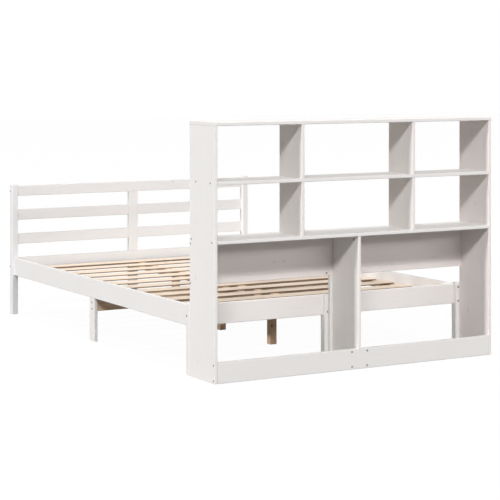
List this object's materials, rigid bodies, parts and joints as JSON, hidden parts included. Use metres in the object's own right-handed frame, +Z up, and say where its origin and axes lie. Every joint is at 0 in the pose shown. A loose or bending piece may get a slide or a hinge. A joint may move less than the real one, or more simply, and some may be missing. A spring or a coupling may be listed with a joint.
{
  "type": "bookcase headboard bed",
  "caption": "Slatted pine double bed with an open bookcase across its head end and a low railed foot end.",
  "frame": {"origin": "on the floor, under the middle of the whole bed and bookcase", "axes": "+Z up, +X across the bed towards its left side, +Y along the bed from the foot to the bookcase"},
  "size_m": [1.46, 2.305, 1.1],
  "materials": {
    "white_pine": "satin white wash over pine",
    "natural_pine": "planed, uncoated pine",
    "fitting_steel": "dark zinc-plated socket screws and cams"
  },
  "bodies": {
    "root": {"back_board_left": "white_pine", "back_board_right": "white_pine", "back_joining_board": "white_pine", "centre_batten": "white_pine", "centre_beam": "natural_pine", "centre_divider": "white_pine", "centre_leg_foot_side": "natural_pine", "centre_leg_head_side": "natural_pine", "centre_leg_middle": "natural_pine", "foot_centre_leg": "white_pine", "foot_cross_rail": "white_pine", "foot_lower_rail_left": "white_pine", "foot_lower_rail_right": "white_pine", "foot_post_left": "white_pine", "foot_post_right": "white_pine", "foot_stile": "white_pine", "foot_top_rail": "white_pine", "foot_upper_rail_left": "white_pine", "foot_upper_rail_right": "white_pine", "head_cross_rail": "white_pine", "head_leg_centre": "white_pine", "head_leg_left": "white_pine", "head_leg_right": "white_pine", "lower_shelf": "white_pine", "mid_cross_beam": "natural_pine", "mid_leg_left": "white_pine", "mid_leg_right": "white_pine", "middle_divider_left": "white_pine", "middle_divider_right": "white_pine", "plinth_joining_board": "white_pine", "plinth_left": "white_pine", "plinth_right": "white_pine", "side_panel_left": "white_pine", "side_panel_right": "white_pine", "side_rail_left": "white_pine", "side_rail_right": "white_pine", "slat_01": "natural_pine", "slat_02": "natural_pine", "slat_03": "natural_pine", "slat_04": "natural_pine", "slat_05": "natural_pine", "slat_06": "natural_pine", "slat_07": "natural_pine", "slat_08": "natural_pine", "slat_09": "natural_pine", "slat_10": "natural_pine", "slat_11": "natural_pine", "slat_12": "natural_pine", "slat_13": "natural_pine", "slat_cleat_left": "natural_pine", "slat_cleat_right": "natural_pine", "top_board": "white_pine", "upper_divider_left": "white_pine", "upper_divider_right": "white_pine", "upper_shelf": "white_pine"}
  },
  "joints": []
}
